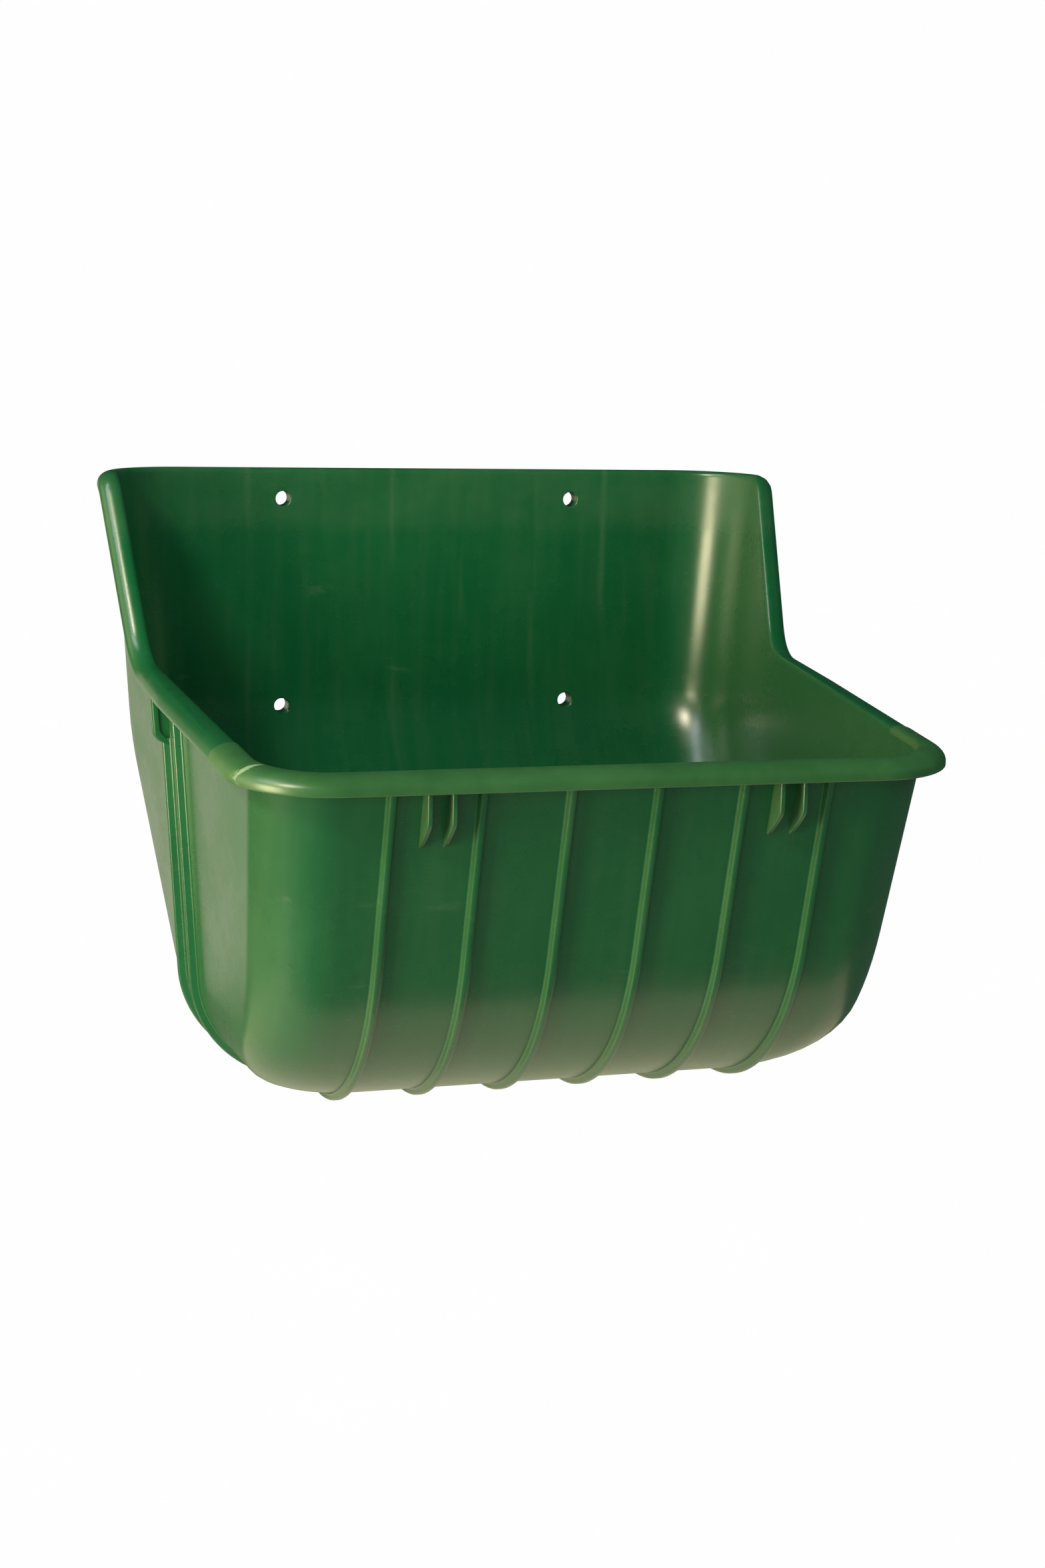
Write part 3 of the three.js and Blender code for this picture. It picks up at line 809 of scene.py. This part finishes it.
    def _floor(self, ring: np.ndarray, base: int, start: int) -> tuple[np.ndarray, Faces]:
        """Closes a level ring with rings that shrink to its middle.

        Args:
            ring: The ring's points.
            base: Number of the ring's first vertex; its vertices are one column apart.
            start: Number that the first new vertex gets.

        Returns:
            The new points and faces.
        """
        count, rows = len(ring), self.rows
        centre = ring.mean(axis=0)
        shares = (0.75, 0.5, 0.25)
        points = [centre + (ring - centre) * share for share in shares]
        faces = []
        for i in range(count):
            j = (i + 1) % count
            faces.append((base + i * rows, base + j * rows, start + j, start + i))
            for k in range(len(shares) - 1):
                low, high = start + k * count, start + (k + 1) * count
                faces.append((low + i, low + j, high + j, high + i))
            last = start + (len(shares) - 1) * count
            faces.append((last + i, last + j, start + len(shares) * count))
        return np.vstack([*points, centre[None]]), faces

    def build_shell(self, material: Finish) -> Piece:
        """The tub and its rim as one continuous moulding, with four bores through the back panel."""
        stations = self.stations()
        frames = self._frames(stations)
        columns = [self._column(station, here) for station, here in zip(stations, frames)]
        self.rows = len(columns[0])
        count = len(columns)
        points = np.vstack(columns)
        faces = []
        for i in range(count):
            a, b = i * self.rows, ((i + 1) % count) * self.rows
            faces += [(a + k, b + k, b + k + 1, a + k + 1) for k in range(self.rows - 1)]
        inner_ring = np.array([column[0] for column in columns])
        outer_ring = np.array([column[-1] for column in columns])
        inner_points, inner_faces = self._floor(inner_ring, 0, len(points))
        outer_points, outer_faces = self._floor(outer_ring, self.rows - 1, len(points) + len(inner_points))
        faces += [tuple(reversed(face)) for face in inner_faces] + outer_faces
        points = np.vstack([points, inner_points, outer_points])
        shell = add_piece("tub_moulding", points, faces, material, self.sharp_deg)
        self._bore(shell)
        return shell

    def _bore(self, shell: Piece) -> None:
        """Cuts the four screw holes, with a softened mouth."""
        mouth = self.form.plate_rear - self.form.wall
        soft, radius = self.bore_soft, self.screw_radius
        profile = [(radius + soft, mouth - 8)]
        profile += [(radius + soft - soft * math.cos(a), mouth + soft - soft * math.sin(a))
                    for a in np.linspace(math.pi / 2, 0, 5)]
        profile += [(radius, self.form.plate_rear + 5)]
        turns = np.linspace(0, 2 * math.pi, self.bore_sides, endpoint=False)
        cutters = []
        for x in (-self.screw_x, self.screw_x):
            for z in (self.screw_upper_z, self.screw_upper_z - self.screw_spacing):
                rings = [np.array([(x + r * math.cos(a), y, z + r * math.sin(a)) for a in turns])
                         for r, y in profile]
                cutters.append(loft_piece("cutter", rings, shell.data.materials[0]))
        for cutter in cutters:
            cut = shell.modifiers.new("bore", "BOOLEAN")
            cut.operation = "DIFFERENCE"
            cut.object = cutter
            cut.solver = "EXACT"
            settle(shell)
        for cutter in cutters:
            bpy.data.objects.remove(cutter)
        shell.data.set_sharp_from_angle(angle=math.radians(self.sharp_deg))

    def build_guard(self, material: Finish) -> Piece:
        """The front stretch of the rim, a little fuller than the rest, from seam to seam."""
        kept = [here for here in self._frames(self.stations()) if here[0][1] < self.seam_y]
        rings = []
        for point, outward, away, reach in kept:
            full, inside = (
                np.vstack([self.rim.outer_half(reach, extra, self.form.wall), self.rim.lip(reach, extra)])
                for extra in (self.guard_extra, self.guard_extra - self.guard_skin))
            section = np.vstack([full, inside[::-1]])
            rings.append(point + section[:, :1] * outward + section[:, 1:] * away)
        return loft_piece("front_rim_cover", rings, material)


@dataclass
class Ribs:
    """Stiffening ribs: six round the tub, and two on each flank."""

    form: TubForm
    width: float = 5
    height: float = 4
    flank_height: float = 5
    pitch: float = 50
    count: int = 6
    root: float = 1.0
    sunk: float = 0.6
    draft: float = 0.35
    crown: float = 1.1
    bend_rise: float = 4.2
    under_rim: float = -7.5
    tuck: float = 4

    def _section(self, origin: np.ndarray, out: np.ndarray, across: np.ndarray, height: float) -> np.ndarray:
        """A rib's section: a filleted root, drafted sides and a rounded top.

        Args:
            origin: Point on the wall's surface at the rib's middle.
            out: Direction away from the wall.
            across: Direction across the rib.
            height: How far the rib stands out.

        Returns:
            The section's points.
        """
        half = self.width / 2
        root, draft, crown = self.root, self.draft, self.crown
        top = half - draft
        side = [(half + root, -self.sunk), (half + root, 0.0), (half + root * 0.4, root * 0.25),
                (half, root), (top, height - crown), (top - draft, height - draft), (top - crown, height)]
        outline = side + [(-x, h) for x, h in reversed(side)]
        return np.array([origin + x * across + h * out for x, h in outline])

    def _keel(self) -> list[tuple[float, float, float, float, float]]:
        """Stations (y, z, outward y, outward z, height) from the front rim round to the top of the back."""
        form = self.form
        stations = []
        lean, slope = form.lean, form.slope_angle
        low = form.front_centre[1] - form.front_radius * math.sin(lean)
        for z in np.linspace(form.front_edge_z - 2, low, 8)[:-1]:
            stations.append((form.front_face(z, 0), z, -math.cos(lean), -math.sin(lean), self.height))
        front = (form.front_centre, form.front_radius, -1, np.linspace(lean, math.pi / 2, 28))
        rear = (form.slope_centre, form.slope_radius, 1, np.linspace(math.pi / 2, slope, 12))
        for (centre_y, centre_z), radius, way, angles in (front, rear):
            for angle in angles:
                out_y, out_z = way * math.cos(angle), -math.sin(angle)
                y, z = centre_y + radius * out_y, centre_z + radius * out_z
                stations.append((y, z, out_y, out_z, self.height))
        start_z = stations[-1][1]
        for share in np.linspace(0, 1, 9)[1:-1]:
            z = start_z + share * (form.bend_z - start_z)
            tall = self.height + share * self.bend_rise
            stations.append((form.rear_face(z, 0), z, math.cos(slope), -math.sin(slope), tall))
        bend_y = form.rear_face(form.bend_z, 0)
        for angle in np.linspace(slope * 0.8, 0, 4):
            out_y, out_z = math.cos(angle), -math.sin(angle)
            stations.append((bend_y, form.bend_z, out_y, out_z, -bend_y / out_y))
        for z in np.linspace(form.bend_z + form.bend_round, form.top_edge - 8, 10):
            stations.append((form.plate_rear, z, 1.0, 0.0, -form.plate_rear))
        return stations

    def build_wrap(self, material: Finish, repeater: Repeater) -> Piece:
        """The ribs that run down the front, under the floor and up the back."""
        across = np.array([1.0, 0.0, 0.0])
        rings = [self._section(np.array([0.0, y, z]), np.array([0.0, oy, oz]), across, tall)
                 for y, z, oy, oz, tall in self._keel()]
        piece = loft_piece("wrap_ribs_moulded", rings, material)
        first = -(self.count - 1) / 2 * self.pitch
        repeater.repeat(piece, (first, 0, 0), self.count, (self.pitch, 0, 0))
        return piece

    def build_flank(self, side: Side, where: str, y: float, top: float, material: Finish) -> Piece:
        """A rib down one side wall and round under the floor.

        Args:
            side: Which end of the trough.
            where: Word for the rib's place.
            y: Depth of the rib's middle.
            top: Height where it starts.
            material: The finish.

        Returns:
            The rib.
        """
        form = self.form
        arc_z = form.floor_z + form.side_radius
        end_x = self.pitch * (self.count - 1) / 2 + self.width / 2 + 1
        heights = list(np.linspace(top, arc_z, 12)[:-1])
        heights += [arc_z - form.side_radius * math.sin(a) for a in np.linspace(0, math.pi / 2 * 0.985, 26)]
        line = [(form.side_face(y, z, 0), z) for z in heights]
        line = [p for p in line if p[0] > end_x]
        rings = []
        for i, (x, z) in enumerate(line):
            before, after = line[max(i - 1, 0)], line[min(i + 1, len(line) - 1)]
            dx, dz = after[0] - before[0], after[1] - before[1]
            size = math.hypot(dx, dz)
            out = np.array([side.value * -dz / size, 0.0, dx / size])
            origin = np.array([side.value * x, y, z])
            rings.append(self._section(origin, out, np.array([0.0, 1.0, 0.0]), self.flank_height))
        return loft_piece(f"{side.word}_{where}_flank_rib", rings, material)


@dataclass
class Bracket:
    """Gusset under a side rim, with a bead along its free edges."""

    form: TubForm
    thickness: float = 5
    reach: float = 9.8
    drop: float = 25
    fall: float = 6
    bead: float = 3.4
    bead_height: float = 1.6
    bead_slant: float = 0.3
    under: float = -7.5
    tuck: float = 3
    sunk: float = 1

    @property
    def y(self) -> float:
        """Depth of the gusset's middle, in line with the rear rib."""
        return self.form.rear_rib_y

    @property
    def lip_z(self) -> float:
        """Height of the rim's lip here."""
        return self.form.edge_height(self.y) + self.under

    def _outline(self, side: Side, inset: float) -> np.ndarray:
        """Points (x, z) of the gusset's outline, moved in by inset on its free edges."""
        reach = self.reach - inset
        top = self.lip_z + self.tuck - inset * self.bead_slant
        low = self.lip_z - self.drop + inset
        wall_top, wall_low = (self.form.side_face(self.y, z, 0) for z in (top, low))
        wall_x = wall_low - self.sunk + inset * self.bead_slant
        out_top, out_low = wall_top + reach, wall_low + reach
        rounding = reach * 0.5
        corner = smooth_curve(np.array([out_low, low + rounding]), np.array([out_low, low]),
                              np.array([out_low - rounding, low - self.fall * 0.4]), 8)
        outline = np.vstack([[[wall_x, top]], [[out_top, top]], corner, [[wall_x, low - self.fall]]])
        return outline * np.array([side.value, 1])

    def build(self, side: Side, material: Finish) -> Piece:
        """The gusset of one side."""
        front, rear = self.y - self.thickness / 2, self.y + self.thickness / 2
        layers = ((0, rear), (0, front), (self.bead, front), (self.bead + 0.3, front + self.bead_height))
        rings = [np.array([(x, y, z) for x, z in self._outline(side, inset)]) for inset, y in layers]
        piece = loft_piece(f"{side.word}_side_gusset", rings, material, 30)
        soften(piece, 0.55)
        return piece


@dataclass
class HookFins:
    """Pairs of hanging fins under the front rim."""

    form: TubForm
    rim: RimForm
    thickness: float = 2.8
    pair_pitch: float = 13.5
    spread: float = 200
    drop: float = 32.5
    lip_extra: float = 0.5
    tuck: float = 3
    soft: float = 0.55
    sunk: float = 1.2

    def build(self, material: Finish, repeater: Repeater) -> Piece:
        """Both pairs."""
        form = self.form
        lip = form.front_edge_z + self.rim.crest - self.rim.drop - self.lip_extra
        tip = lip - self.drop
        edge = form.front_face(lip, 0) - self.rim.reach + self.tuck
        top = lip + 5
        straight, turn = lip - 0.5 * self.drop, lip - 0.62 * self.drop
        belly = smooth_curve(np.array([edge, straight]), np.array([edge + 0.8, turn]),
                             np.array([form.front_face(tip, 0) - 0.9, tip]), 12)
        outer = np.vstack([[[edge, top]], [[edge, lip - 6]], belly])
        rings = []
        for share, inset in ((-1.0, self.soft), (-0.72, 0.0), (0.72, 0.0), (1.0, self.soft)):
            x = share * self.thickness / 2
            shape = [(x, y + inset, z + inset * 0.6) for y, z in outer]
            inner = [(x, form.front_face(z, 0) + self.sunk, z) for z in np.linspace(tip - 1, top, len(outer))]
            rings.append(np.array(shape + inner))
        piece = loft_piece("hook_fins_moulded", rings, material)
        first = -self.spread / 2 - self.pair_pitch / 2
        repeater.repeat(piece, (first, 0, 0), 2, (self.pair_pitch, 0, 0), 2, (self.spread, 0, 0))
        return piece


@dataclass
class Bosses:
    """Tubular bosses that carry the screw loads from the back panel to the wall."""

    tub: Tub
    radius: float = 7.8
    root: float = 1.6
    sides: int = 48

    def build(self, material: Finish, repeater: Repeater) -> Piece:
        """All four bosses."""
        rear, bore = self.tub.form.plate_rear, self.tub.screw_radius
        profile = [(bore, -0.1), (bore + 0.5, 0.0), (self.radius - 0.5, 0.0), (self.radius, -0.5),
                   (self.radius, rear + self.root), (self.radius + 0.4, rear + 0.5),
                   (self.radius + self.root, rear - 0.2), (bore, rear - 0.2)]
        rings = []
        for k in range(self.sides):
            angle = 2 * math.pi * k / self.sides
            rings.append(np.array([(r * math.cos(angle), y, r * math.sin(angle)) for r, y in profile]))
        faces = []
        count = len(profile)
        for k in range(self.sides):
            a, b = k * count, ((k + 1) % self.sides) * count
            faces += [(a + i, b + i, b + (i + 1) % count, a + (i + 1) % count) for i in range(count)]
        piece = add_piece("screw_bosses_moulded", np.vstack(rings), faces, material)
        tub = self.tub
        repeater.repeat(piece, (-tub.screw_x, 0, tub.screw_upper_z), 2, (0, 0, -tub.screw_spacing),
                        2, (2 * tub.screw_x, 0, 0))
        return piece


# ---- camera, floor and light ----


@dataclass(frozen=True)
class Viewpoint:
    """Where the camera stands and how it is turned."""

    place: Point = (-449.64, -1683.91, 113.11)
    yaw: float = 0.3024
    pitch: float = 0.183
    roll: float = -0.0255
    lens: float = 58.16
    sensor: float = 36

    def build(self) -> None:
        """Makes the scene's camera."""
        level = Vector((math.cos(self.yaw), -math.sin(self.yaw), 0))
        ahead = Vector((math.sin(self.yaw), math.cos(self.yaw), 0)) * math.cos(self.pitch)
        ahead.z = -math.sin(self.pitch)
        down = ahead.cross(level)
        right = math.cos(self.roll) * level + math.sin(self.roll) * down
        low = -math.sin(self.roll) * level + math.cos(self.roll) * down
        data = bpy.data.cameras.new("viewpoint")
        data.lens = self.lens
        data.sensor_width = self.sensor
        data.clip_start = 0.01
        camera = bpy.data.objects.new("viewpoint", data)
        turn = Matrix((right, -low, -ahead)).transposed().to_4x4()
        camera.matrix_world = Matrix.Translation(Vector(self.place) * MM) @ turn
        bpy.context.scene.collection.objects.link(camera)
        bpy.context.scene.camera = camera


@dataclass(frozen=True)
class SoftLight:
    """A large rectangular lamp."""

    name: str
    place: Point
    target: Point
    size: tuple[float, float]
    power: float
    colour: Colour
    mirrored: bool = True

    def build(self) -> None:
        """Adds the lamp to the scene. Places are in metres."""
        data = bpy.data.lights.new(self.name, "AREA")
        data.shape = "RECTANGLE"
        data.size, data.size_y = self.size
        data.energy = self.power
        data.color = self.colour
        lamp = bpy.data.objects.new(self.name, data)
        aim = Vector(self.target) - Vector(self.place)
        lamp.rotation_euler = aim.to_track_quat("-Z", "Y").to_euler()
        lamp.location = self.place
        lamp.visible_camera = False
        lamp.visible_glossy = self.mirrored
        bpy.context.scene.collection.objects.link(lamp)


class Studio:
    """Plain pale floor, pale surroundings and soft lamps."""

    LAMPS = tuple(SoftLight(*lamp) for lamp in (
        ("upper_left_key", (-1.6, -1.35, 1.25), (0, -0.2, -0.15), (0.45, 0.45), 32, (1.0, 0.88, 0.66)),
        ("left_panel", (-1.35, 0.0, 0.1), (0, -0.3, -0.05), (1.1, 0.8), 3, (1.0, 0.88, 0.64)),
        ("corner_window", (-1.135, -0.71, -0.18), (0.2, -0.03, -0.08), (0.42, 0.55), 13, (1.0, 0.88, 0.56)),
        ("sky_strip", (-1.25, -0.38, 1.02), (0.18, -0.1, -0.2), (0.22, 0.8), 5, (0.86, 0.92, 1.0)),
        ("under_glow", (-0.1, -0.1, -0.62), (-0.1, -0.1, 0), (1.24, 0.84), 2.1, (1.0, 0.86, 0.56)),
        ("rear_panel", (-0.51, 1.36, -0.45), (-0.25, 0, -0.25), (0.42, 1.2), 1.35, (1.0, 0.88, 0.72)),
        ("front_fill", (-0.9, -2.2, 0.2), (0, -0.3, -0.2), (1.4, 1.4), 17.5, (0.88, 1.0, 0.80), False),
        ("right_fill", (1.6, -0.7, 0.8), (0.1, -0.2, -0.15), (0.9, 0.9), 9, (0.75, 1.0, 0.92), False),
    ))
    SEEN_AIR = (0.992, 0.992, 0.992)
    MIRRORED_AIR = (0.02, 0.05, 0.035)
    DIM_AIR = (0.13, 0.2, 0.19)
    FLOOR_MATT = (0.22, 0.24, 0.22)
    FLOOR_SEEN = ((0.985, 0.985, 0.985), (1.0, 1.0, 1.0))
    FLOOR_DROP = 0.42
    FLOOR_RADIUS = 9.0

    def build(self) -> None:
        """Makes the floor, the world and the lamps."""
        self._floor()
        self._air()
        for lamp in self.LAMPS:
            lamp.build()
        bpy.context.scene.view_settings.view_transform = "Standard"

    def _floor(self) -> None:
        """A wide pale disc well under the trough, which hangs clear of it."""
        low = min(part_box(name)[0].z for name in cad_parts) - self.FLOOR_DROP
        mesh = bpy.data.meshes.new("studio_floor")
        work = bmesh.new()
        bmesh.ops.create_circle(work, cap_ends=True, radius=self.FLOOR_RADIUS, segments=96)
        bmesh.ops.translate(work, verts=work.verts, vec=(0, 0, low))
        work.to_mesh(mesh)
        work.free()
        floor = bpy.data.objects.new("studio_floor", mesh)
        bpy.context.scene.collection.objects.link(floor)
        material = bpy.data.materials.new("studio_floor")
        sheet = NodeSheet.blank(material)
        place = sheet.add("ShaderNodeTexCoord").outputs["Object"]
        even = sheet.blend(sheet.noise(place, 3.0), *self.FLOOR_SEEN)
        seen = sheet.add("ShaderNodeLightPath").outputs["Is Camera Ray"]
        matt = sheet.add("ShaderNodeBsdfDiffuse", {"Color": (*self.FLOOR_MATT, 1.0)})
        lit = sheet.add("ShaderNodeEmission", {"Color": even})
        both = sheet.add("ShaderNodeMixShader", {0: seen, 1: matt.outputs[0], 2: lit.outputs[0]})
        sheet.add("ShaderNodeOutputMaterial", {"Surface": both.outputs[0]})
        mesh.materials.append(material)

    def _air(self) -> None:
        """Pale surroundings for the camera, dimmer as a source of light."""
        world = bpy.data.worlds.new("studio_air")
        sheet = NodeSheet.blank(world)
        path = sheet.add("ShaderNodeLightPath")
        colour = sheet.blend(path.outputs["Is Glossy Ray"], self.DIM_AIR, self.MIRRORED_AIR)
        colour = sheet.blend(path.outputs["Is Camera Ray"], colour, self.SEEN_AIR)
        air = sheet.add("ShaderNodeBackground", {"Color": colour})
        sheet.add("ShaderNodeOutputWorld", {"Surface": air.outputs[0]})
        bpy.context.scene.world = world


# Each finish's sheen share paints a paler colour on faces turned to the light on the left: painted light.
GREEN = PlasticFinish(
    name="green_moulding", deep=(0.003, 0.085, 0.026), pale=(0.008, 0.104, 0.033), dusty=(0.16, 0.24, 0.14),
    roughness=0.25, dull=0.0, mottle=0.55, dust=0.10, scuffs=0.14, specks=0.12, sink_depth=0.15, left_sheen_share=0.14,
    streaks=0.12)
FRESH_GREEN = PlasticFinish(
    name="front_rim_green", deep=(0.028, 0.110, 0.034), pale=(0.045, 0.150, 0.050), dusty=(0.32, 0.42, 0.26),
    roughness=0.33, dull=0.25, mottle=0.7, dust=0.0, scuffs=0.75, specks=0.6, sink_depth=0.0, left_sheen_share=0.2,
    streaks=0.0)
RUBBED_GREEN = PlasticFinish(
    name="hook_fin_green", deep=(0.008, 0.085, 0.028), pale=(0.030, 0.115, 0.046), dusty=(0.34, 0.38, 0.24),
    roughness=0.4, dull=0.2, mottle=0.9, dust=0.0, scuffs=1.0, specks=0.8, sink_depth=0.0, left_sheen_share=0.15,
    streaks=0.0)


def main() -> None:
    """Builds the camera, the trough and the studio in order."""
    logging.basicConfig(level=logging.INFO, format="%(name)s: %(message)s")
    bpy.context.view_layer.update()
    Viewpoint().build()
    Studio().build()

    effects = Effects()
    green, fresh, rubbed = (finish.build(effects) for finish in (GREEN, FRESH_GREEN, RUBBED_GREEN))
    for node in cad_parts.values():
        node.data.materials.clear()
        node.data.materials.append(green)

    form, rim, repeater = TubForm(), RimForm(), Repeater()
    tub = Tub(form, rim)
    hand_over(tub.build_shell(green), "plastic", "back_panel", "rear_slope", "floor_pan", "front_wall",
              "left_side_wall", "right_side_wall", "back_rim", "left_side_rim", "right_side_rim")
    hand_over(tub.build_guard(fresh), "front_rim_plastic", "front_rim")

    ribs = Ribs(form)
    hand_over(ribs.build_wrap(green, repeater), "plastic", *(f"wrap_rib_{i + 1}" for i in range(ribs.count)))
    bracket = Bracket(form)
    front_top = form.edge_height(form.front_rib_y) + ribs.under_rim + ribs.tuck
    flank_ribs = (("rear", form.rear_rib_y, bracket.lip_z - bracket.drop),
                  ("front", form.front_rib_y, front_top))
    for side in Side:
        for where, y, top in flank_ribs:
            rib = ribs.build_flank(side, where, y, top, green)
            hand_over(rib, "plastic", f"{side.word}_{where}_side_rib")
        hand_over(bracket.build(side, green), "plastic", f"{side.word}_side_bracket")

    hand_over(HookFins(form, rim).build(rubbed, repeater), "plastic",
              *(f"{side.word}_{place}_hook_fin" for side in Side for place in ("outer", "inner")))
    hand_over(Bosses(tub).build(green, repeater), "plastic",
              *(f"screw_boss_{row}_{side.word}" for row in ("upper", "lower") for side in Side))


if __name__ == "__main__":
    main()
